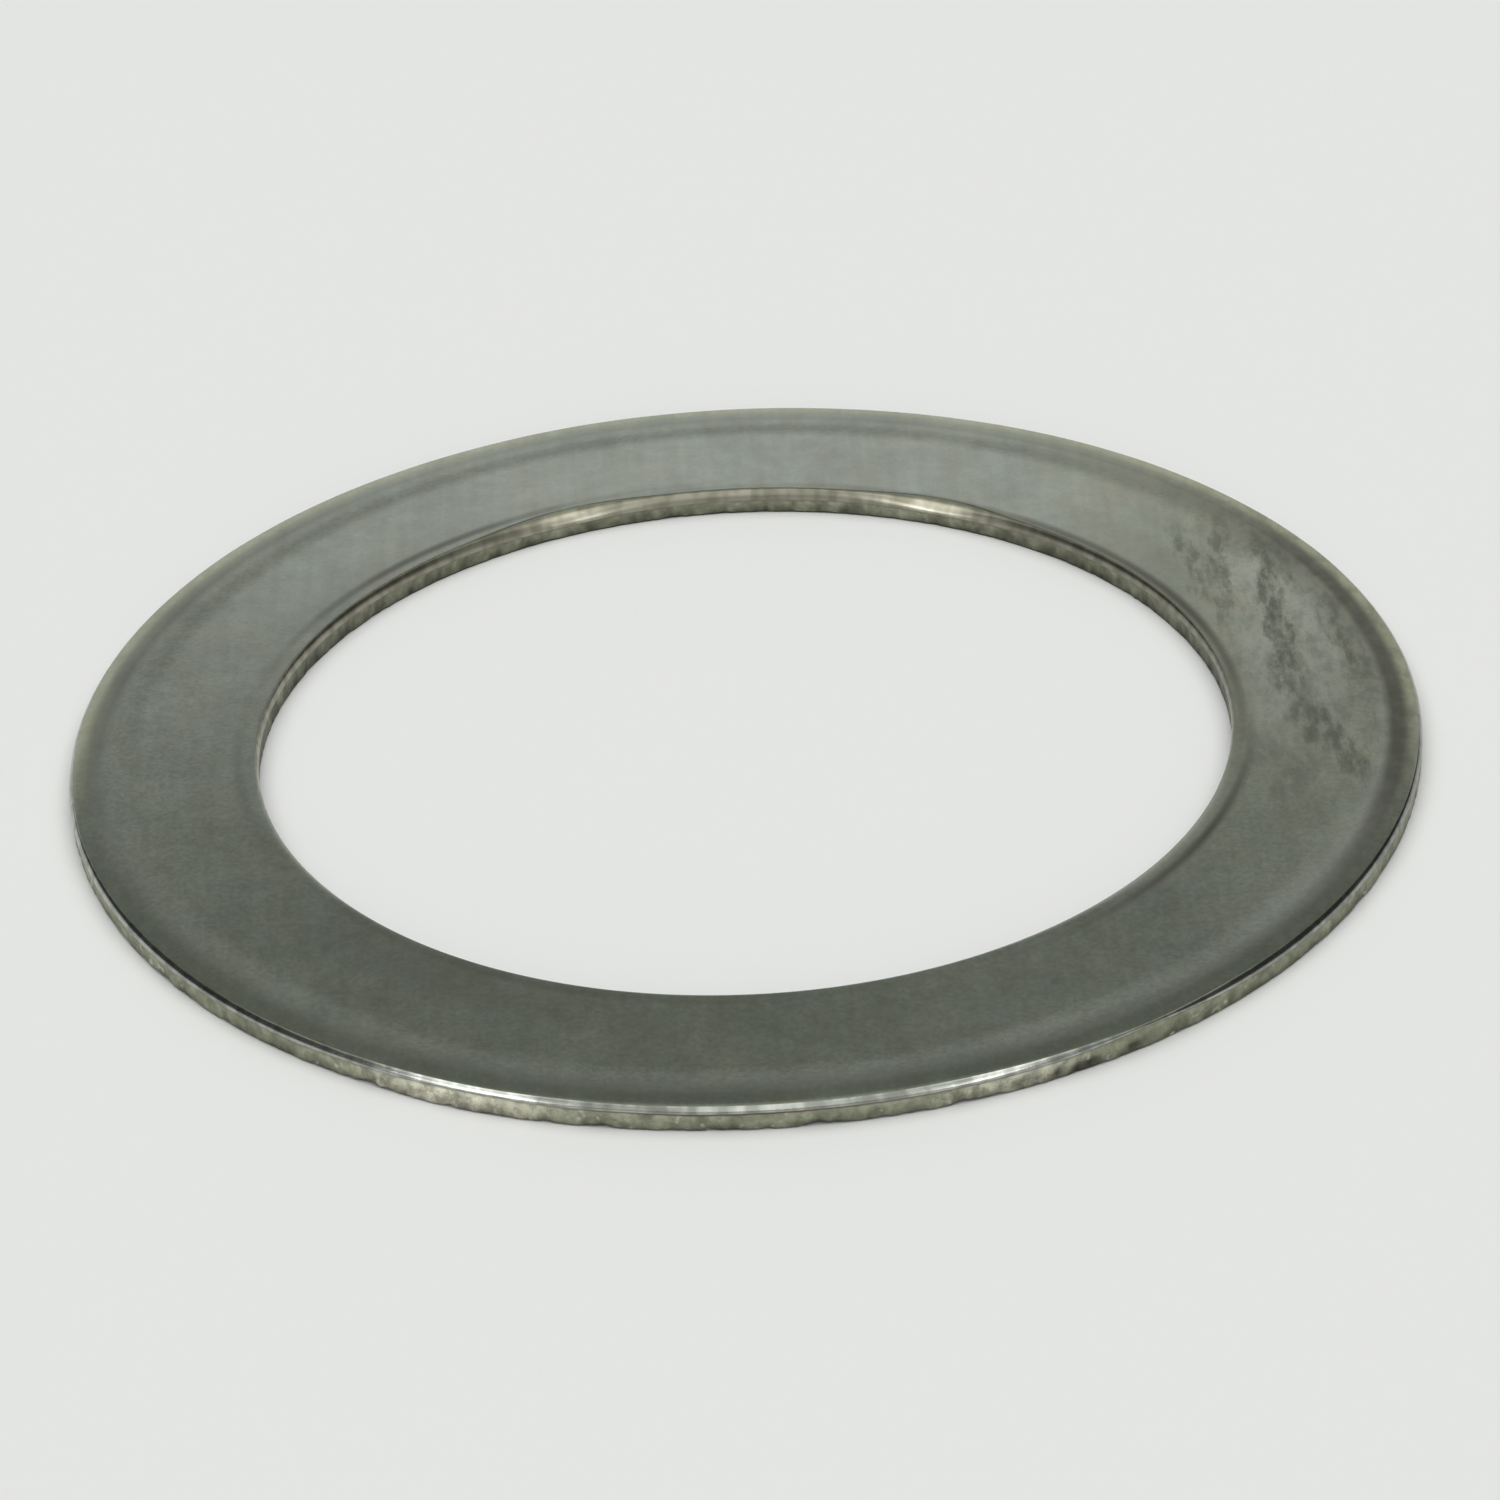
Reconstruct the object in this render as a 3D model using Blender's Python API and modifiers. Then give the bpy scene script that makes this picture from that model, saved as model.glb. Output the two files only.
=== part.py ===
"""A flat steel washer for an 18 mm shaft, blanked from strip 0.5 mm thick.

The frame is +Z up along the washer's axis, and the origin is on that axis in the plane of
the lower face. Units are metres. The washer is one piece of steel, so it is one object.
Both sheared edges have the same section, from the top face down: a shallow rollover, a
rounded shoulder, a smooth land, and a fracture zone that slopes back under the land.
"""

import math

import bpy

# Driving dimensions.
BORE_DIAMETER = 0.018
OUTER_DIAMETER = 0.025
THICKNESS = 0.0005

# The sheared edge.
ROLLOVER_WIDTH = 0.00033
ROLLOVER_ANGLE = math.radians(9)
SHOULDER_RADIUS = 0.00017
LAND_HEIGHT = 0.00003
FRACTURE_SLOPE = 0.00003

# How finely the round shapes are divided.
TURN_STEPS = 144
ROLLOVER_STEPS = 3
SHOULDER_STEPS = 5

# Screw merges only the first and last copies of the section, which coincide.
MERGE_DISTANCE = 1e-7

SHARP_EDGE_ANGLE = math.radians(30)
STEEL_COLOUR = (0.36, 0.37, 0.34, 1.0)
STEEL_ROUGHNESS = 0.38


def clear_scene():
    for obj in list(bpy.data.objects):
        bpy.data.objects.remove(obj)


def arc(centre, radius, start, end, steps):
    """Points on a circle round centre, from angle start to angle end, both ends included."""
    turns = [start + (end - start) * step / steps for step in range(steps + 1)]
    return [
        (centre[0] + radius * math.cos(turn), centre[1] + radius * math.sin(turn))
        for turn in turns
    ]


def sheared_edge():
    """The edge's section as (reach, height), from the top face down to the lower face.

    Reach is measured from the wall, out of the metal, so it is negative inside the metal.
    """
    upright = math.pi / 2
    shoulder_start = upright - ROLLOVER_ANGLE
    rollover_radius = ROLLOVER_WIDTH / math.sin(ROLLOVER_ANGLE)
    rollover_depth = rollover_radius * (1 - math.cos(ROLLOVER_ANGLE))

    # The shoulder runs from the end of the rollover to the top of the upright land.
    shoulder_centre = (
        -SHOULDER_RADIUS,
        THICKNESS - rollover_depth - SHOULDER_RADIUS * math.sin(shoulder_start),
    )
    shoulder = arc(shoulder_centre, SHOULDER_RADIUS, shoulder_start, 0, SHOULDER_STEPS)

    # The rollover leaves the flat top face without a kink, and meets the shoulder.
    rollover_centre = (shoulder[0][0] - ROLLOVER_WIDTH, THICKNESS - rollover_radius)
    rollover = arc(rollover_centre, rollover_radius, upright, shoulder_start, ROLLOVER_STEPS)

    land_foot = (0, shoulder_centre[1] - LAND_HEIGHT)
    fracture_foot = (-FRACTURE_SLOPE, 0)
    return [*rollover, *shoulder[1:], land_foot, fracture_foot]


def washer_section():
    """The closed section at +X as (x, z), down the outer edge and back up the bore."""
    edge = sheared_edge()
    outer_edge = [(OUTER_DIAMETER / 2 + reach, height) for reach, height in edge]
    bore_edge = [(BORE_DIAMETER / 2 - reach, height) for reach, height in edge]
    return [*outer_edge, *reversed(bore_edge)]


def steel():
    material = bpy.data.materials.new("steel")
    material.use_nodes = True
    shader = material.node_tree.nodes["Principled BSDF"]
    shader.inputs["Base Color"].default_value = STEEL_COLOUR
    shader.inputs["Metallic"].default_value = 1.0
    shader.inputs["Roughness"].default_value = STEEL_ROUGHNESS
    return material


def turned_solid(name, section, collection):
    """A closed section in the XZ plane, turned a full circle about the Z axis."""
    outline = bpy.data.meshes.new(name + "_section")
    last = len(section) - 1
    sides = [(index, index + 1) for index in range(last)]
    outline.from_pydata([(x, 0, z) for x, z in section], [*sides, (last, 0)], [])

    solid = bpy.data.objects.new(name, outline)
    collection.objects.link(solid)
    turn = solid.modifiers.new("turn", "SCREW")
    turn.axis = "Z"
    turn.angle = 2 * math.pi
    turn.steps = TURN_STEPS
    turn.render_steps = TURN_STEPS
    turn.use_merge_vertices = True
    turn.merge_threshold = MERGE_DISTANCE

    # The modifier is applied, so that the corners at the lower face can be marked sharp.
    evaluated = solid.evaluated_get(bpy.context.evaluated_depsgraph_get())
    solid.data = bpy.data.meshes.new_from_object(evaluated)
    solid.modifiers.clear()
    solid.data.shade_smooth()
    solid.data.set_sharp_from_angle(angle=SHARP_EDGE_ANGLE)
    bpy.data.meshes.remove(outline)
    return solid


def main():
    clear_scene()
    collection = bpy.data.collections.new("flat_washer")
    bpy.context.scene.collection.children.link(collection)
    washer = turned_solid("washer", washer_section(), collection)
    washer.data.materials.append(steel())


main()
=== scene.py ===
"""The looks of a flat steel washer that was blanked from cold rolled strip.

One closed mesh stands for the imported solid. Its top edges are rolled over and burnished
where the punch drew the steel down, and its walls are torn below that. Lengths are in
metres, heights are above the lower face, and ring angles run anticlockwise from +X, so
that 270 degrees is the side towards the camera.
"""

import math

import bpy
import numpy as np
from mathutils import Matrix, Vector, noise


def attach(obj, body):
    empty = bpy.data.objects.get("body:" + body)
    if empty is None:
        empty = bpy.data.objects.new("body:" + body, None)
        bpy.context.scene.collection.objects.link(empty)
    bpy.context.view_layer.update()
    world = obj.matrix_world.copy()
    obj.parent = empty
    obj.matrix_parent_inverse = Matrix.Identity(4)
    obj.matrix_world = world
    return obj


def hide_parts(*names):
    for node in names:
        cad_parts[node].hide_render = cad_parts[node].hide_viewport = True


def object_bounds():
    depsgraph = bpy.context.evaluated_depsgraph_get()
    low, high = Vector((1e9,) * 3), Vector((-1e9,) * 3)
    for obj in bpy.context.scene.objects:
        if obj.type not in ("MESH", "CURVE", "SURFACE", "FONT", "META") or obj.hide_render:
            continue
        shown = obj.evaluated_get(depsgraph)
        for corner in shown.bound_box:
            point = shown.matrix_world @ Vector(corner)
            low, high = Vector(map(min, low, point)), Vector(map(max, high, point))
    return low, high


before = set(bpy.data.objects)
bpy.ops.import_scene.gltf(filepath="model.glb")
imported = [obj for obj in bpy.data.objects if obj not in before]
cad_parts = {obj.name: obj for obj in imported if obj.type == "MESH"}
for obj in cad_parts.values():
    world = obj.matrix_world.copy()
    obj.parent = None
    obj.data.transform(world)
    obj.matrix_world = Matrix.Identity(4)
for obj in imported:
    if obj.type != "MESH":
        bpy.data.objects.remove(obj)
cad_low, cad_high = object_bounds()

MM = 0.001

# Driving dimensions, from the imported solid.
OUTER_RADIUS = (cad_high.x - cad_low.x) / 2
THICKNESS = cad_high.z - cad_low.z
BORE_RADIUS = min(v.co.xy.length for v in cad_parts["washer"].data.vertices)

# How finely the ring is divided, round it and across the lower face.
TURN_STEPS = 1500
UNDERSIDE_STEPS = 2
# A ring this far inside each edge keeps the shading of the top level right up to the edge.
SUPPORT = 0.012 * MM

# The rings of the flat top. From DISH_START outwards it rises to the rim by DISH_DEPTH.
FACE_RADII = [r * MM for r in (9.45, 10.2, 11.2, 11.35, 11.5, 11.65, 11.8, 11.9)]
DISH_START = 11.2 * MM
DISH_DEPTH = 0.0095 * MM

# The materials' places in the mesh.
ROLLED, BURNISHED, TORN = 0, 1, 2

# The camera. Where it stands and looks is in outer radii, and its lens and sensor are in mm.
CAMERA_PITCH = math.radians(31.15)
CAMERA_ROLL = math.radians(-2.946)
CAMERA_DISTANCE = 9.95 * OUTER_RADIUS
CAMERA_TARGET = Vector((0.007, -0.0025, 0)) * OUTER_RADIUS
CAMERA_LENS = 160.97
CAMERA_SENSOR = 36.0

# Colours are linear.
STEEL = (0.326, 0.349, 0.309, 1)
CLEAN_STEEL = (0.455, 0.475, 0.45, 1)
STAIN = (0.142, 0.150, 0.120, 1)
# Stains, and the painted shade ring just inside the rim.
RIM_STAIN_AND_SHADE = (0.104, 0.104, 0.082, 1)
# Grime, and painted shade at the feet, recesses and dark edge lines of the walls.
GRIME_AND_SHADE = (0.050, 0.048, 0.038, 1)
# Rust, and a painted dark line at the foot of the burnished band.
RUST_AND_SHADE = (0.110, 0.055, 0.038, 1)
FLOOR_COLOUR = (0.81, 0.812, 0.8265, 1)
WARM_TINT = (1.025, 0.998, 0.962, 1)
COOL_TINT = (0.98, 1.005, 1.01, 1)
OLIVE_TINT = (1.04, 1.02, 0.935, 1)
RIM_TINT = (1.02, 1.01, 0.88, 1)
# The burnished band, where it is dull and where it is bright.
BAND_DULL = (0.27, 0.28, 0.255, 1)
BAND_BRIGHT = (0.43, 0.44, 0.41, 1)
BORE_BAND_DULL = (0.29, 0.28, 0.22, 1)
BORE_BAND_BRIGHT = (0.42, 0.405, 0.33, 1)
# The torn wall.
TORN_DARK = (0.285, 0.297, 0.218, 1)
TORN_LIGHT = (0.405, 0.42, 0.315, 1)
# Painted highlight where the strip lights show in the torn wall.
TORN_HIGHLIGHT = (0.82, 0.79, 0.66, 1)
TORN_FLECK = (0.68, 0.66, 0.56, 1)
# The studio's screen, window and room.
SCREEN = (0.88, 0.89, 0.88, 1)
WINDOW = (1.62, 1.66, 1.59, 1)
DARK_ROOM = (0.055, 0.057, 0.052, 1)
DIM_ROOM = (0.262, 0.272, 0.242, 1)
PALE_CEILING = (0.60, 0.61, 0.54, 1)

# What is uneven round the ring, each as bumps: height, ring angle, half width in degrees.
OUTER_FLARE = [(1.0, 246, 8), (0.7, 291.5, 4)]
OUTER_SMOOTH = [(1.0, 246, 9)]
OUTER_THICK_NOSE = [(1.0, 211, 17), (0.8, 318, 13)]
OUTER_TORN_HIGH = [(1.0, 302, 6)]
OUTER_FEW_CHIPS = [(0.6, 322, 22)]
# Painted dark reflection on the outer nose, on the right.
OUTER_NOSE_SHADE = [(0.45, 350, 25)]
OUTER_RUST_AND_SHADE = [(0.75, 269, 15)]
BORE_DRAWN = [(1.0, 333, 24), (0.55, 198, 22)]
BORE_RIGHT = [(1.0, 350, 62)]
BORE_BACK = [(1.0, 95, 80)]
# Painted edge shade on the front of the bore's nose.
BORE_FRONT_SHADE = [(0.75, 258, 55)]
BORE_ROUNDED = [(1.0, 63.5, 7), (0.9, 111, 8)]
# Painted shade in a ring just inside the outer rolled edge.
RIM_SHADE = [(0.10, 90, 60), (1.0, 7, 36), (0.40, 163, 26)]
RIM_LESS_SHADE = [(0.1, 95, 35)]
RIM_HAZE = [(0.62, 30, 27)]
RIM_WIPED = [(0.42, 270, 62), (0.35, 335, 24)]
# Where a dark band lies just inside the bore.
BORE_DARK_BAND = [(0.95, 330, 22), (0.75, 131, 23), (0.22, 190, 16)]
BORE_LINE = [(0.92, 25, 33), (0.25, 252, 38), (0.16, 90, 45)]
BORE_FILM = [(0.50, 233, 21), (0.26, 30, 14)]
# Painted highlight on the torn wall at both ends of the front highlight.
TORN_HIGHLIGHT_PLACES = [(1.0, 245, 7.5), (0.8, 290.5, 5)]

# Where the outer wall is torn deepest: ring angle and half width in degrees, and depth.
OUTER_TEARS = [
    (278.7, 0.60, 0.4), (285.1, 0.60, 0.4), (290.6, 0.55, 0.7), (293.9, 0.65, 0.8),
    (295.6, 0.50, 0.6), (296.9, 0.80, 0.9), (301.1, 0.90, 0.8),
]
TEAR_HEIGHT = 0.13 * MM
TEAR_HALF_HEIGHT = 0.10 * MM
# How far a tear leans round the ring, in degrees for each mm that it rises.
TEAR_LEAN = 2.5
# Stains on the top: centre x and y, half length, half width in mm, lean, and strength.
SMEARS = [
    (10.17, 2.9, 3.4, 0.24, 0.0, 1.0),
    (10.70, -1.3, 1.9, 0.30, -0.33, 0.95),
    (9.25, 4.9, 1.9, 0.20, 0.05, 0.8),
    (8.72, 5.2, 1.3, 0.20, -0.15, 0.8),
    (11.42, 1.5, 1.1, 0.22, -0.2, 0.9),
    (11.12, 3.1, 0.9, 0.16, -0.1, 0.8),
    (10.3, 5.9, 1.1, 0.22, 0.0, 0.7),
    (9.95, -2.7, 0.9, 0.33, 0.5, 0.6),
    (9.6, -1.6, 0.7, 0.30, 0.2, 0.5),
    (10.95, -2.0, 0.10, 0.05, 0.5, 1.0),
]
# Cleaner patches between the stains, in the same terms.
CLEAN_PATCHES = [
    (9.70, 0.5, 2.2, 0.30, 0.0, 0.8), (10.75, 2.6, 1.9, 0.30, -0.05, 0.8),
    (10.75, 0.2, 0.9, 0.45, -0.2, 0.6), (9.70, 4.2, 1.5, 0.25, 0.0, 0.5),
    (3.2, -10.2, 0.8, 1.5, 0.0, 0.35),
]
# Burrs at the foot of the bore's burnished band: ring angle in degrees, and length in mm.
BORE_BURRS = [
    (212.6, 0.05), (251.0, 0.03), (257.2, 0.035), (270.3, 0.035), (276.4, 0.03), (281.2, 0.03),
    (297.5, 0.03),
]
# Half of each burr's width, in degrees.
BURR_HALF_WIDTH = 0.17

# The wall is torn from just above the foot of the burnished band.
TORN_OVERLAP = 0.01 * MM

# The studio, in degrees. The screen's upper edge rises a little towards +X.
SCREEN_SIDES = (30.0, 44.0)
SCREEN_EDGE = (30.1, 30.9)
SCREEN_SLANT = 0.07
# Lights: name, the directions of both ends, width in degrees, and radiance.
MIRRORED_LIGHTS = [
    ("left_strip", (-39, 3), (-100, 71), 15, 3.0),
    ("right_strip", (31, 3), (96, 74), 7.5, 3.0),
    ("left_glow", (-41, 3), (-51, 22), 18, 3.0),
    ("right_glow", (32, 3), (39, 20), 8, 2.4),
]
OVERHEAD_LIGHT = ("overhead", (0, 48), (180, 48), 84, 0.852)
LIGHT_DISTANCE = 0.5


# ---------------------------------------------------------------- shape

def wander(turn, grain, seed, octaves=3):
    """Smooth noise of about -1 to 1 round the ring, with features about grain long."""
    radius = OUTER_RADIUS / grain
    values = [
        noise.fractal(
            (radius * math.cos(angle), radius * math.sin(angle), seed), 1.0, 2.0, octaves
        )
        for angle in turn
    ]
    return np.array(values)


def near(turn, degrees, width):
    """A bump of height 1 round one ring angle, with a half width in degrees."""
    away = np.degrees(np.angle(np.exp(1j * (turn - math.radians(degrees)))))
    return np.exp(-((away / width) ** 2))


def bumps(turn, table):
    return sum(height * near(turn, degrees, width) for height, degrees, width in table)


def chipped(turn, seed):
    """How deep the foot of a wall is chipped round the ring, from 0 to about 1."""
    return np.clip(wander(turn, 0.6 * MM, seed) + 0.1, 0, None) ** 1.2


def torn_wall(turn, heights, radius, seed):
    """How far each point of the torn wall is pushed out, from -1 to 1, by row and turn."""
    push = np.zeros((len(heights), len(turn)))
    for row, height in enumerate(heights):
        for column, angle in enumerate(turn):
            place = Vector((radius * math.cos(angle), radius * math.sin(angle), 0))
            place.z = height[column] * 0.6 + seed
            coarse = noise.noise(place / (0.32 * MM))
            fine = noise.noise(place / (0.12 * MM))
            push[row, column] = coarse * 0.6 + fine * 0.4
    return push


def edge_section(turn, edge):
    """One sheared edge as a list of rings, from the top face down to the lower face.

    Each ring has a reach out of the metal, a height, a material index, how much grime and
    painted shade darken it, and how much rust and painted dark line it has. Reach is 0 at
    the foot of the burnished band, where no burr stands.
    """
    still = np.zeros_like(turn)
    roll, nose, bevel = edge["rollover_angle"], edge["nose_angle"], edge["bevel_angle"]
    roll_radius = edge["rollover_width"] / np.sin(roll)
    nose_radius = edge["nose_radius"]
    bevel_radius = edge["bevel_length"] / (bevel - nose)
    arcs = [
        (still, roll, roll_radius, edge["rollover_steps"], ROLLED, edge["rollover_grime"]),
        (roll, nose, nose_radius, edge["nose_steps"], BURNISHED, edge["nose_shade"]),
        (nose, bevel, bevel_radius, edge["bevel_steps"], BURNISHED, edge["nose_shade"]),
    ]
    top = THICKNESS - edge["top_drop"]
    rings = [
        (still - SUPPORT, still + top, ROLLED, edge["rollover_grime"], still),
        (still, still + top, ROLLED, edge["rollover_grime"], still),
    ]
    reach, height = still, still + top
    for first, last, radius, steps, material, grime_and_shade in arcs:
        for step in range(1, steps + 1):
            turned = first + (last - first) * step / steps
            along = reach + radius * (np.sin(turned) - np.sin(first))
            down = height - radius * (np.cos(first) - np.cos(turned))
            rings.append((along, down, material, grime_and_shade, still))
        reach, height = rings[-1][0], rings[-1][1]
    land_foot = height - edge["land_height"]
    widest = reach + 0.1 * edge["land_height"] + edge["burrs"]
    # The land is darkened: painted shade and painted dark reflection, with a brown rust tint.
    rings.append((widest, land_foot, BURNISHED, edge["land_shade"] + still, edge["rust_and_shade"]))
    rings = [(r - widest + edge["burrs"], h, m, g, rust_and_shade) for r, h, m, g, rust_and_shade in rings]

    steps = edge["torn_steps"]
    shares = [step / steps for step in range(steps + 1)]
    heights = [
        land_foot - TORN_OVERLAP + (edge["foot_height"] - land_foot + TORN_OVERLAP) * share
        for share in shares
    ]
    wall_radius = OUTER_RADIUS if edge["outward"] > 0 else BORE_RADIUS
    push = torn_wall(turn, heights, wall_radius, edge["seed"])
    for row, share in enumerate(shares):
        lean = -edge["step_in"] - edge["slope"] * share
        cut = edge["tears"](heights[row])
        torn_reach = lean + push[row] * edge["torn_depth"] * min(1, 4 * share)
        torn_reach = torn_reach - cut * edge["tear_depth"]
        # Painted shade: pushed-in places and tears are darker, pushed-out places lighter.
        grime_and_shade = edge["torn_shade"](share) - 0.55 * push[row] + cut * 0.55
        rust_and_shade = edge["rust_and_shade"] * 0.7 if row == 0 else still
        rings.append((torn_reach, heights[row], TORN, grime_and_shade, rust_and_shade))

    foot_reach = rings[-1][0]
    # Painted contact shadow: the foot of each wall is dark.
    foot_shade = still + edge["foot_shade"]
    halfway = (foot_reach - edge["foot_width"] * 0.45, edge["foot_height"] * 0.4)
    rings.append((*halfway, TORN, foot_shade, still))
    rings.append((foot_reach - edge["foot_width"], still, TORN, foot_shade, still))
    return rings


def outer_edge(turn):
    still = np.zeros_like(turn)
    chips = chipped(turn, 3.1) * (1 - bumps(turn, OUTER_FEW_CHIPS))
    flare = bumps(turn, OUTER_FLARE)
    thick = bumps(turn, OUTER_THICK_NOSE)
    smooth = bumps(turn, OUTER_SMOOTH)
    band_height = 1 - 0.75 * bumps(turn, OUTER_TORN_HIGH)
    nose_wander = 1 + 0.2 * wander(turn, 2 * MM, 4.3, 2)
    bevel_wander = 1 + 0.08 * wander(turn, 1.5 * MM, 6.3, 2)
    land_wander = 1 + 0.6 * wander(turn, 1.2 * MM, 5.3)

    def tears(height):
        """Scallops torn out of the wall, deepest a quarter of the way up."""
        cut = np.zeros_like(turn)
        fade = np.exp(-(((height - TEAR_HEIGHT) / TEAR_HALF_HEIGHT) ** 2))
        leaned = turn - np.radians(TEAR_LEAN * (height - TEAR_HEIGHT) / MM)
        for degrees, width, depth in OUTER_TEARS:
            cut += near(leaned, degrees, width) * fade * depth
        return np.clip(cut, 0, 1)

    return {
        "outward": 1,
        "top_drop": 0,
        "seed": 0.7,
        "rollover_steps": 4,
        "rollover_angle": math.radians(6) * (1 + 0.12 * wander(turn, 6 * MM, 1.3, 2)),
        "rollover_width": 0.40 * MM * (1 + 0.12 * wander(turn, 5 * MM, 2.3, 2)),
        "rollover_grime": still,
        "nose_steps": 3,
        "nose_angle": math.radians(44),
        "nose_radius": (0.032 + 0.028 * thick) * MM * nose_wander,
        # Painted dark reflection: the nose is darker round 350 degrees.
        "nose_shade": bumps(turn, OUTER_NOSE_SHADE),
        "bevel_steps": 6,
        "bevel_angle": math.radians(81),
        "bevel_length": 0.125 * MM * bevel_wander * band_height,
        "burrs": still,
        "land_height": 0.016 * MM * land_wander * (1 - 0.7 * smooth),
        # A painted dark line with some rust at the land, weaker where the band is smooth.
        "land_shade": 0.15 * (1 - smooth),
        "rust_and_shade": 0.25 * (1 - smooth) + bumps(turn, OUTER_RUST_AND_SHADE),
        "step_in": (0.010 + 0.030 * flare) * (1 - 0.85 * smooth) * MM,
        "torn_steps": 10,
        "torn_depth": 0.017 * MM,
        # Painted shade: the outer torn wall darkens towards its foot.
        "torn_shade": lambda share: 0.10 + 0.50 * share ** 2,
        "tears": tears,
        "tear_depth": 0.038 * MM,
        "slope": (0.010 - 0.045 * flare) * MM,
        "foot_height": (0.022 + 0.10 * chips) * MM,
        "foot_width": (0.022 + 0.10 * chips) * MM,
        "foot_shade": 0.85,
    }


def bore_edge(turn):
    # The punch stood a little off centre: the bore is drawn down most on some sides.
    drawn = bumps(turn, BORE_DRAWN)
    right = bumps(turn, BORE_RIGHT)
    back = bumps(turn, BORE_BACK)
    rounded = bumps(turn, BORE_ROUNDED)
    chips = chipped(turn, 7.1)
    burr_lengths = [
        near(turn, degrees, BURR_HALF_WIDTH) * size * MM for degrees, size in BORE_BURRS
    ]
    rollover_degrees = 1.5 + 1.5 * drawn + 8 * rounded - 0.9 * back * (1 - rounded)
    back_darkening = 0.32 * back * (1 - rounded)
    return {
        "outward": -1,
        "top_drop": DISH_DEPTH,
        "seed": 2.9,
        "rollover_steps": 3,
        "rollover_angle": np.radians(rollover_degrees),
        "rollover_width": (0.04 + 0.20 * drawn) * (1 - 0.75 * np.clip(rounded, 0, 1)) * MM,
        "rollover_grime": 0.2 * right,
        "nose_steps": 5,
        "nose_angle": math.radians(60),
        "nose_radius": (0.014 + 0.05 * back + 0.26 * rounded) * MM,
        # Painted edge shade at the front; the nose is also darker on the right and at the back.
        "nose_shade": bumps(turn, BORE_FRONT_SHADE) + 0.3 * right + back_darkening,
        "bevel_steps": 5,
        "bevel_angle": math.radians(85),
        "bevel_length": (0.06 + 0.12 * back) * (1 - 0.5 * rounded) * MM,
        "burrs": sum(burr_lengths),
        "land_height": 0.02 * MM * (1 + 0.4 * wander(turn, 1.2 * MM, 8.3)),
        "land_shade": 0.35,
        "rust_and_shade": np.full_like(turn, 0.15),
        "step_in": 0.006 * MM,
        "torn_steps": 8,
        "torn_depth": 0.009 * MM,
        # Painted shade: the bore's torn wall darkens towards its foot, and is lighter at the
        # back.
        "torn_shade": lambda share: 0.50 + 0.45 * share - back * (0.22 + 0.10 * share),
        "tears": np.zeros_like,
        "tear_depth": 0,
        "slope": 0.006 * MM,
        "foot_height": (0.03 + 0.04 * chips) * MM,
        "foot_width": (0.008 + 0.03 * chips) * MM,
        "foot_shade": 1.0,
    }


def ring_rows(turn):
    """Every ring of the mesh, from the bore out over the top, and back underneath."""
    outer_rings = edge_section(turn, outer_edge(turn))
    bore_rings = edge_section(turn, bore_edge(turn))
    still = np.zeros_like(turn)

    def placed(rings, wall, outward):
        return [(wall + outward * ring[0], *ring[1:]) for ring in rings]

    outer = placed(outer_rings, OUTER_RADIUS, 1)
    bore = placed(bore_rings, BORE_RADIUS, -1)

    top = []
    for radius in FACE_RADII:
        raised = max(0, (radius - DISH_START) / (FACE_RADII[-1] - DISH_START))
        raised = raised * raised * (3 - 2 * raised)
        height = THICKNESS - DISH_DEPTH * (1 - raised)
        top.append((still + radius, still + height, ROLLED, still, still))

    under = []
    for step in range(1, UNDERSIDE_STEPS):
        share = step / UNDERSIDE_STEPS
        radius = outer[-1][0] + (bore[-1][0] - outer[-1][0]) * share
        under.append((radius, still, ROLLED, still, still))
    return top + outer + under + bore[::-1]


def washer_mesh():
    turn = np.arange(TURN_STEPS) * 2 * math.pi / TURN_STEPS
    rows = ring_rows(turn)
    points = [
        np.stack([row[0] * np.cos(turn), row[0] * np.sin(turn), row[1]], axis=-1)
        for row in rows
    ]
    faces = []
    materials = []
    for row in range(len(rows)):
        below = (row + 1) % len(rows)
        first, second = row * TURN_STEPS, below * TURN_STEPS
        # A strip beside a flat face is part of it, and one beside the torn wall is torn.
        both = (rows[row][2], rows[below][2])
        material = TORN if both in ((BURNISHED, TORN), (TORN, BURNISHED)) else min(both)
        for step in range(TURN_STEPS):
            after = (step + 1) % TURN_STEPS
            faces.append((first + step, second + step, second + after, first + after))
            materials.append(material)
    mesh = bpy.data.meshes.new("flat_washer")
    mesh.from_pydata(np.concatenate(points).tolist(), [], faces)
    mesh.polygons.foreach_set("material_index", materials)

    # The painted shade ring, the haze and the dark bands just inside each edge are not even round
    # the ring.
    uneven = 1 + 0.15 * wander(turn, 2.5 * MM, 9.3)
    rim_shade = (0.16 + bumps(turn, RIM_SHADE)) * (1 - bumps(turn, RIM_LESS_SHADE))
    marks = {
        "grime_and_shade": np.concatenate([row[3] for row in rows]),
        "rust_and_shade": np.concatenate([row[4] for row in rows]),
        "rim_shade": np.tile(rim_shade * uneven, len(rows)),
        "rim_haze": np.tile(bumps(turn, RIM_HAZE) * uneven, len(rows)),
        "bore_dark_band": np.tile(bumps(turn, BORE_DARK_BAND) * uneven, len(rows)),
        "bore_line": np.tile(bumps(turn, BORE_LINE) * uneven, len(rows)),
        "bore_film": np.tile(bumps(turn, BORE_FILM), len(rows)),
        "rim_wiped": np.tile(bumps(turn, RIM_WIPED), len(rows)),
        "bright": np.tile(bumps(turn, TORN_HIGHLIGHT_PLACES), len(rows)),
    }
    for name, values in marks.items():
        attribute = mesh.attributes.new(name, "FLOAT", "POINT")
        attribute.data.foreach_set("value", np.clip(values, 0, 1))
    mesh.shade_smooth()
    mesh.update()
    return mesh


# ---------------------------------------------------------------- materials

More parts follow.
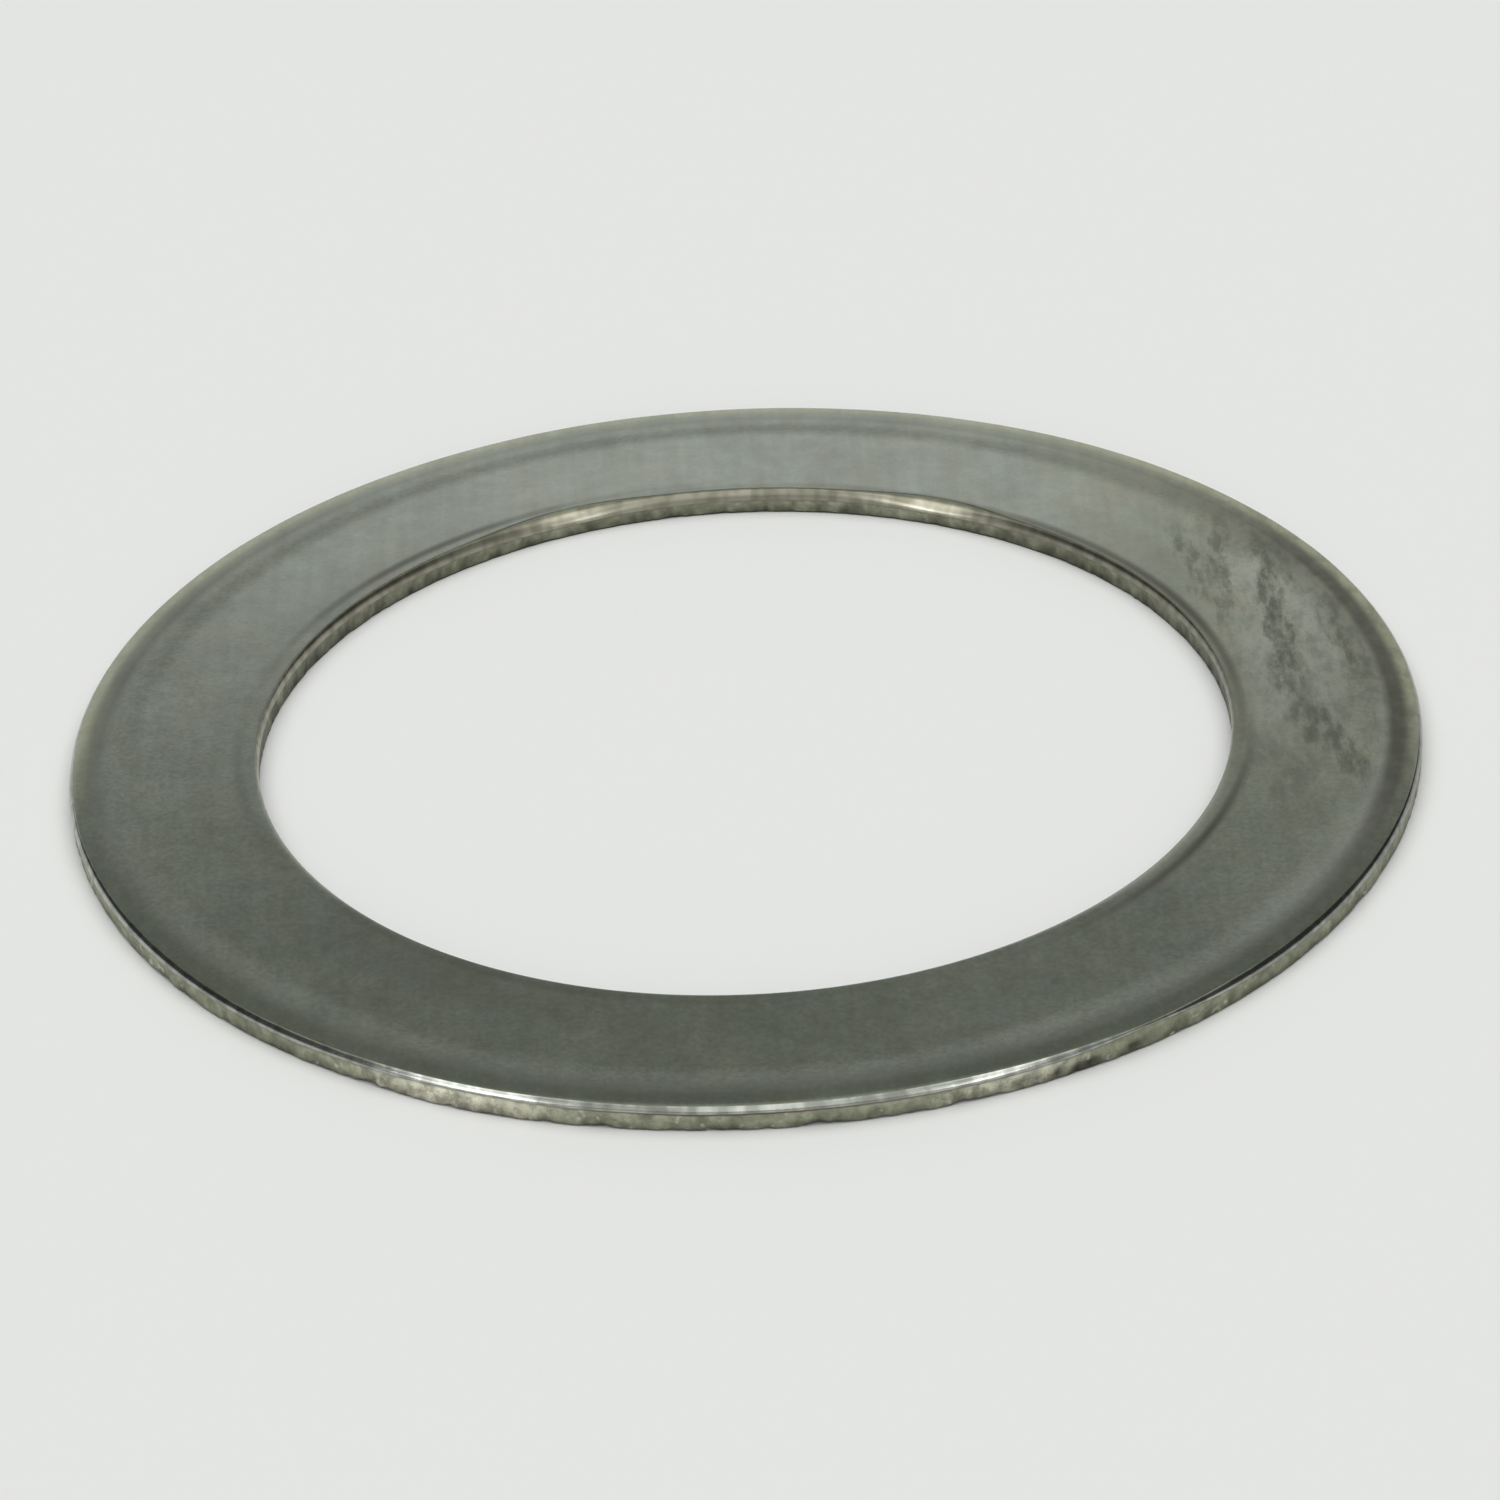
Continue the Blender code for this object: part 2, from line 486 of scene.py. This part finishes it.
class Nodes:
    """A node tree written as formulas: methods add nodes, and all but add return outputs."""

    def __init__(self, tree):
        self.tree = tree

    def add(self, kind, inputs, **settings):
        node = self.tree.nodes.new(kind)
        for name, value in settings.items():
            setattr(node, name, value)
        for key, value in inputs.items():
            socket = node.inputs[key]
            if isinstance(value, bpy.types.NodeSocket):
                self.tree.links.new(value, socket)
            else:
                socket.default_value = value
        return node

    def math(self, operation, first, second=0.0, clamp=False):
        inputs = {0: first, 1: second}
        return self.add("ShaderNodeMath", inputs, operation=operation, use_clamp=clamp).outputs[0]

    def ramp(self, value, low, high, to_low=0.0, to_high=1.0):
        """Smoothly from to_low where value is low, to to_high where it is high."""
        inputs = {0: value, 1: low, 2: high, 3: to_low, 4: to_high}
        return self.add("ShaderNodeMapRange", inputs, interpolation_type="SMOOTHSTEP").outputs[0]

    def band(self, value, centre, width):
        """1 at centre, falling smoothly to 0 at width on either side."""
        away = self.math("ABSOLUTE", self.math("SUBTRACT", value, centre))
        return self.ramp(away, 0.0, width, 1.0, 0.0)

    def noise(self, place, size, detail=2.0, roughness=0.5):
        inputs = {"Vector": place, "Scale": 1 / size, "Detail": detail, "Roughness": roughness}
        return self.add("ShaderNodeTexNoise", inputs).outputs[0]

    def stretched_noise(self, place, sizes, detail, roughness):
        """Noise with a size of its own along X, Y and Z."""
        scale = [1 / size for size in sizes]
        stretched = self.add("ShaderNodeVectorMath", {0: place, 1: scale}, operation="MULTIPLY")
        return self.noise(stretched.outputs[0], 1.0, detail, roughness)

    def grain_along_y(self, place, across, along, detail, roughness):
        """Noise drawn out along Y, the rolling direction of the strip."""
        return self.stretched_noise(place, (across, along, across), detail, roughness)

    def grain_along_z(self, place, across, along, detail, roughness):
        """Noise drawn out along Z, the way the tool moved."""
        return self.stretched_noise(place, (across, across, along), detail, roughness)

    def attribute(self, name):
        return self.add("ShaderNodeAttribute", {}, attribute_name=name).outputs["Fac"]

    def grey(self, tone):
        return self.add("ShaderNodeCombineColor", {0: tone, 1: tone, 2: tone}).outputs[0]

    def mix(self, share, first, second, blend="MIX"):
        node = self.tree.nodes.new("ShaderNodeMix")
        node.data_type = "RGBA"
        node.blend_type = blend
        for index, value in ((0, share), (6, first), (7, second)):
            if isinstance(value, bpy.types.NodeSocket):
                self.tree.links.new(value, node.inputs[index])
            else:
                node.inputs[index].default_value = value
        return node.outputs[2]

    def tinted(self, share, colour, tint):
        """The colour multiplied by a tint, by a share of 0 to 1."""
        return self.mix(share, colour, self.mix(1.0, colour, tint, "MULTIPLY"))

    def times(self, first, second):
        return self.math("MULTIPLY", first, second)

    def larger(self, first, second):
        return self.math("MAXIMUM", first, second)

    def place(self):
        return self.add("ShaderNodeTexCoord", {}).outputs["Object"]

    def split(self, vector):
        node = self.add("ShaderNodeSeparateXYZ", {0: vector})
        return node.outputs[0], node.outputs[1], node.outputs[2]

    def bump(self, height, distance, normal=None):
        inputs = {"Height": height, "Distance": distance, "Strength": 1.0}
        if normal is not None:
            inputs["Normal"] = normal
        return self.add("ShaderNodeBump", inputs).outputs[0]


def new_material(name):
    material = bpy.data.materials.new(name)
    material.use_nodes = True
    return material, material.node_tree.nodes["Principled BSDF"], Nodes(material.node_tree)


def ring_radius(n, place):
    x, y, _ = n.split(place)
    return n.math("SQRT", n.math("ADD", n.times(x, x), n.times(y, y)))


def on_outer_wall(n, place):
    """1 outside the middle of the ring, 0 inside it."""
    return n.ramp(ring_radius(n, place), 10.0 * MM, 11.0 * MM)


def smears(n, place, marks):
    """Soft marks on the top, drawn out along the rolling direction of the strip."""
    x, y, _ = n.split(place)
    ragged = n.grain_along_y(place, 0.42 * MM, 1.2 * MM, 5, 0.68)
    wobble = n.ramp(ragged, 0.25, 0.75, -0.85, 0.85)
    total = 0.0
    for centre_x, centre_y, half_length, half_width, lean, strength in marks:
        along = n.math("SUBTRACT", y, centre_y * MM)
        drift = n.times(along, lean)
        across = n.math("SUBTRACT", n.math("SUBTRACT", x, centre_x * MM), drift)
        across = n.math("ADD", n.math("DIVIDE", across, half_width * MM), wobble)
        along = n.math("DIVIDE", along, half_length * MM)
        reach = n.math("ADD", n.math("POWER", across, 2.0), n.math("POWER", along, 2.0))
        smear = n.ramp(reach, 0.0, 2.6, strength, 0.0)
        total = n.larger(total, smear)
    return total


def rolled_steel():
    """The rolled faces of the strip."""
    material, shader, n = new_material("rolled_steel")
    place = n.place()
    x, y, _ = n.split(place)
    radius = ring_radius(n, place)
    side = n.math("DIVIDE", x, OUTER_RADIUS)

    # Mill finish: cloudy tone, mottling, streaks along the rolling direction, fine grain.
    cloud = n.noise(place, 1.6 * MM, 3, 0.6)
    mottle = n.noise(place, 0.45 * MM, 4, 0.65)
    grain = n.noise(place, 0.09 * MM, 2, 0.6)
    streak = n.grain_along_y(place, 0.22 * MM, 3.5 * MM, 3, 0.6)
    tone = n.ramp(cloud, 0.3, 0.7, 0.925, 1.075)
    tone = n.times(tone, n.ramp(grain, 0.25, 0.75, 0.94, 1.06))
    tone = n.times(tone, n.ramp(mottle, 0.35, 0.65, 0.955, 1.045))
    tone = n.times(tone, n.ramp(streak, 0.3, 0.7, 0.955, 1.035))
    warmth = n.ramp(n.noise(place, 0.9 * MM, 4, 0.65), 0.35, 0.65)
    tint = n.mix(warmth, WARM_TINT, COOL_TINT)
    colour = n.mix(1.0, n.mix(1.0, STEEL, n.grey(tone), "MULTIPLY"), tint, "MULTIPLY")

    # The +X side is more olive, smeared and mottled, with cleaner patches between.
    olive = n.times(n.ramp(side, 0.3, 0.8), n.ramp(y, -7 * MM, -1 * MM))
    colour = n.tinted(olive, colour, OLIVE_TINT)
    fibres = n.grain_along_y(place, 0.26 * MM, 0.75 * MM, 5, 0.7)
    beads = n.ramp(fibres, 0.36, 0.60, 0.25, 1.0)
    stain = n.times(smears(n, place, SMEARS), beads)
    right = n.times(n.ramp(side, 0.55, 0.88), n.ramp(y, -5 * MM, -1 * MM, 0.5, 1.0))
    patches = n.ramp(n.math("ADD", mottle, fibres), 0.86, 1.22, 0.0, 0.55)
    stain = n.larger(stain, n.times(patches, right))
    clean = n.times(smears(n, place, CLEAN_PATCHES), n.ramp(fibres, 0.4, 0.6, 1.0, 0.5))
    stain = n.times(stain, n.math("SUBTRACT", 1.0, n.times(clean, 0.35)))

    # A film lies near the bore, on the -X side and in two other places.
    film = n.times(n.ramp(side, -0.25, -0.6), n.ramp(radius, 10.6 * MM, 9.2 * MM))
    film = n.times(film, n.ramp(cloud, 0.35, 0.62, 0.0, 0.25))
    bore_film = n.times(n.attribute("bore_film"), n.ramp(radius, 10.6 * MM, 9.9 * MM))
    stain = n.larger(stain, n.larger(film, bore_film))
    colour = n.mix(stain, colour, STAIN)
    colour = n.mix(n.times(clean, 0.42), colour, CLEAN_STEEL)

    # Painted shade darkens a ring just inside the outer rolled edge, two dark bands lie just
    # inside the bore, and the rim is wiped at the front.
    wiped = n.times(n.band(radius, 11.88 * MM, 0.42 * MM), n.attribute("rim_wiped"))
    colour = n.mix(wiped, colour, CLEAN_STEEL)
    rim = n.times(n.ramp(radius, 11.74 * MM, 12.0 * MM), n.attribute("rim_shade"))
    haze = n.times(n.ramp(radius, 11.35 * MM, 12.0 * MM), n.attribute("rim_haze"))
    outermost = n.ramp(radius, 12.12 * MM, 12.33 * MM, 1.0, 0.22)
    dirt_and_shade = n.times(n.larger(rim, haze), outermost)
    dirt_and_shade = n.times(dirt_and_shade, n.ramp(mottle, 0.3, 0.6, 0.85, 1.0))
    line = n.times(n.band(radius, 9.37 * MM, 0.18 * MM), n.attribute("bore_dark_band"))
    edge_line = n.times(n.band(radius, 9.20 * MM, 0.19 * MM), n.attribute("bore_line"))
    dirt_and_shade = n.larger(dirt_and_shade, n.larger(line, edge_line))
    # The grime and painted shade of the edges darken the top as well.
    dirt_and_shade = n.larger(dirt_and_shade, n.attribute("grime_and_shade"))
    colour = n.mix(dirt_and_shade, colour, RIM_STAIN_AND_SHADE)

    # Behind the front, the rolled rim is a little more olive.
    rolled = n.times(n.ramp(radius, 12.05 * MM, 12.3 * MM), n.ramp(y, -4 * MM, 1 * MM))
    colour = n.tinted(rolled, colour, RIM_TINT)
    stain = n.larger(stain, dirt_and_shade)
    n.tree.links.new(colour, shader.inputs["Base Color"])

    shader.inputs["Metallic"].default_value = 1.0
    rough = n.math("ADD", n.ramp(grain, 0.2, 0.8, 0.105, 0.135), n.times(stain, 0.10))
    n.tree.links.new(rough, shader.inputs["Roughness"])
    swell = n.bump(n.noise(place, 2.2 * MM, 1, 0.4), 0.004 * MM)
    n.tree.links.new(n.bump(grain, 0.0003 * MM, swell), shader.inputs["Normal"])
    return material


def burnished_steel():
    """The smooth band that the tool drew down at the top of each wall."""
    material, shader, n = new_material("burnished_steel")
    place = n.place()
    radius = ring_radius(n, place)
    drag = n.grain_along_z(place, 0.26 * MM, 2.0 * MM, 1, 0.5)
    at_bore = n.ramp(radius, 10.0 * MM, 11.0 * MM, 1.0, 0.0)
    dull = n.mix(at_bore, BAND_DULL, BORE_BAND_DULL)
    bright = n.mix(at_bore, BAND_BRIGHT, BORE_BAND_BRIGHT)
    colour = n.mix(n.ramp(drag, 0.35, 0.65), dull, bright)
    # Grime and painted shade darken the band, and rust with a painted dark line browns the land.
    colour = n.mix(n.attribute("grime_and_shade"), colour, GRIME_AND_SHADE)
    colour = n.mix(n.attribute("rust_and_shade"), colour, RUST_AND_SHADE)
    n.tree.links.new(colour, shader.inputs["Base Color"])
    shader.inputs["Metallic"].default_value = 1.0
    rough = n.ramp(radius, 9.5 * MM, 12.0 * MM, 0.30, 0.21)
    n.tree.links.new(rough, shader.inputs["Roughness"])
    n.tree.links.new(n.bump(drag, 0.0012 * MM), shader.inputs["Normal"])
    return material


def torn_steel():
    """The rough, dull wall where the strip broke."""
    material, shader, n = new_material("torn_steel")
    place = n.place()
    patch = n.noise(place, 0.22 * MM, 4, 0.7)
    grain = n.noise(place, 0.06 * MM, 3, 0.7)
    outer = on_outer_wall(n, place)
    colour = n.mix(n.ramp(patch, 0.35, 0.65), TORN_DARK, TORN_LIGHT)
    # Painted highlight: the outer torn wall is pale where the strip lights shine in it.
    highlight = n.times(n.attribute("bright"), n.ramp(patch, 0.38, 0.58, 0.3, 1.0))
    colour = n.mix(n.times(highlight, outer), colour, TORN_HIGHLIGHT)
    # Grime and painted shade: the torn wall is darker at its foot, in recesses and in tears.
    colour = n.mix(n.attribute("grime_and_shade"), colour, GRIME_AND_SHADE)
    fleck = n.ramp(n.noise(place, 0.26 * MM, 1, 0.5), 0.64, 0.74, 0.0, 0.6)
    colour = n.mix(n.times(fleck, outer), colour, TORN_FLECK)
    # Rust and a painted dark line at the top of the torn wall.
    colour = n.mix(n.attribute("rust_and_shade"), colour, RUST_AND_SHADE)
    n.tree.links.new(colour, shader.inputs["Base Color"])
    shader.inputs["Metallic"].default_value = 1.0
    shader.inputs["Roughness"].default_value = 0.56
    coarse = n.bump(patch, 0.024 * MM)
    n.tree.links.new(n.bump(grain, 0.011 * MM, coarse), shader.inputs["Normal"])
    return material


# ---------------------------------------------------------------- studio

def make_floor():
    material, shader, _ = new_material("floor")
    shader.inputs["Base Color"].default_value = FLOOR_COLOUR
    shader.inputs["Roughness"].default_value = 1.0
    shader.inputs["Specular IOR Level"].default_value = 0.0
    mesh = bpy.data.meshes.new("floor")
    half = 40 * OUTER_RADIUS
    drop = -0.01 * MM
    corners = [(-half, -half, drop), (half, -half, drop), (half, half, drop), (-half, half, drop)]
    mesh.from_pydata(corners, [], [(0, 1, 2, 3)])
    mesh.materials.append(material)
    floor = bpy.data.objects.new("floor", mesh)
    bpy.context.scene.collection.objects.link(floor)


def make_world():
    """A pale screen low behind, a window in front, a pale ceiling, and a dim room elsewhere."""
    world = bpy.data.worlds.new("studio")
    bpy.context.scene.world = world
    world.use_nodes = True
    n = Nodes(world.node_tree)
    direction = n.add("ShaderNodeTexCoord", {}).outputs["Generated"]
    x, y, z = n.split(direction)
    degrees = math.degrees(1)
    elevation = n.times(n.math("ARCSINE", z), degrees)
    azimuth = n.times(n.math("ARCTAN2", x, y), degrees)
    from_front = n.times(n.math("ARCTAN2", x, n.times(y, -1.0)), degrees)

    behind = n.ramp(n.math("ABSOLUTE", azimuth), *SCREEN_SIDES, 1.0, 0.0)
    above_edge = n.math("SUBTRACT", elevation, n.times(azimuth, SCREEN_SLANT))
    screen = n.times(behind, n.ramp(above_edge, *SCREEN_EDGE, 1.0, 0.0))

    # The window is brightest in the middle, and there is a faint glow to the right of it.
    window = n.times(n.ramp(from_front, -42.0, -36.0), n.ramp(from_front, 28.0, 34.0, 1.0, 0.0))
    window = n.times(window, n.ramp(elevation, 2.0, 8.0))
    window = n.times(window, n.ramp(from_front, 2.0, 14.0, 1.0, 0.57))
    window = n.times(window, n.ramp(from_front, -16.0, -6.0, 0.385, 1.0))
    beyond = n.times(n.ramp(from_front, 40.0, 50.0), n.ramp(from_front, 66.0, 74.0, 0.18, 0.0))
    window = n.larger(window, beyond)

    dim = n.larger(behind, n.ramp(elevation, 30.0, 75.0))
    room = n.mix(dim, DARK_ROOM, DIM_ROOM)
    room = n.mix(n.ramp(elevation, 45.0, 53.0), room, PALE_CEILING)
    colour = n.mix(window, n.mix(screen, room, SCREEN), WINDOW)
    background = world.node_tree.nodes["Background"]
    n.tree.links.new(colour, background.inputs["Color"])
    background.inputs["Strength"].default_value = 1.0


def direction_to(azimuth, elevation):
    """The way to a light. Azimuth is from behind the camera, positive towards +X."""
    turn, rise = math.radians(azimuth), math.radians(elevation)
    return Vector((
        math.sin(turn) * math.cos(rise),
        -math.cos(turn) * math.cos(rise),
        math.sin(rise),
    ))


def strip_light(name, low, high, width, radiance):
    """A long soft light that faces the washer, between two directions."""
    first, last = direction_to(*low), direction_to(*high)
    away = (first + last).normalized()
    along = (last - first).normalized()
    data = bpy.data.lights.new(name, "AREA")
    data.shape = "RECTANGLE"
    data.size = 2 * LIGHT_DISTANCE * math.tan(math.radians(width) / 2)
    data.size_y = 2 * LIGHT_DISTANCE * math.tan(first.angle(last) / 2)
    data.energy = radiance * math.pi * data.size * data.size_y
    light = bpy.data.objects.new(name, data)
    across = along.cross(away)
    rotation = Matrix((across, along, away)).transposed().to_4x4()
    light.matrix_world = Matrix.Translation(away * LIGHT_DISTANCE) @ rotation
    bpy.context.scene.collection.objects.link(light)
    return light


def make_lights():
    """The metal mirrors the strips and glows, and the overhead light only lights the floor."""
    for settings in MIRRORED_LIGHTS:
        strip_light(*settings).visible_diffuse = False
    strip_light(*OVERHEAD_LIGHT).visible_glossy = False


def make_camera():
    data = bpy.data.cameras.new("camera")
    data.lens = CAMERA_LENS
    data.sensor_width = CAMERA_SENSOR
    data.clip_start = OUTER_RADIUS / 10
    data.clip_end = OUTER_RADIUS * 1000
    camera = bpy.data.objects.new("camera", data)
    bpy.context.scene.collection.objects.link(camera)
    back = Vector((0, -math.cos(CAMERA_PITCH), math.sin(CAMERA_PITCH)))
    stand = Matrix.Translation(CAMERA_TARGET + back * CAMERA_DISTANCE)
    tilt = Matrix.Rotation(math.pi / 2 - CAMERA_PITCH, 4, "X")
    camera.matrix_world = stand @ tilt @ Matrix.Rotation(CAMERA_ROLL, 4, "Z")
    bpy.context.scene.camera = camera


def make_washer():
    mesh = washer_mesh()
    mesh.materials.append(rolled_steel())
    mesh.materials.append(burnished_steel())
    mesh.materials.append(torn_steel())
    washer = bpy.data.objects.new("flat_washer", mesh)
    bpy.context.scene.collection.objects.link(washer)
    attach(washer, "root")
    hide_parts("washer")


bpy.context.scene.view_settings.view_transform = "Standard"
make_camera()
make_floor()
make_world()
make_lights()
make_washer()
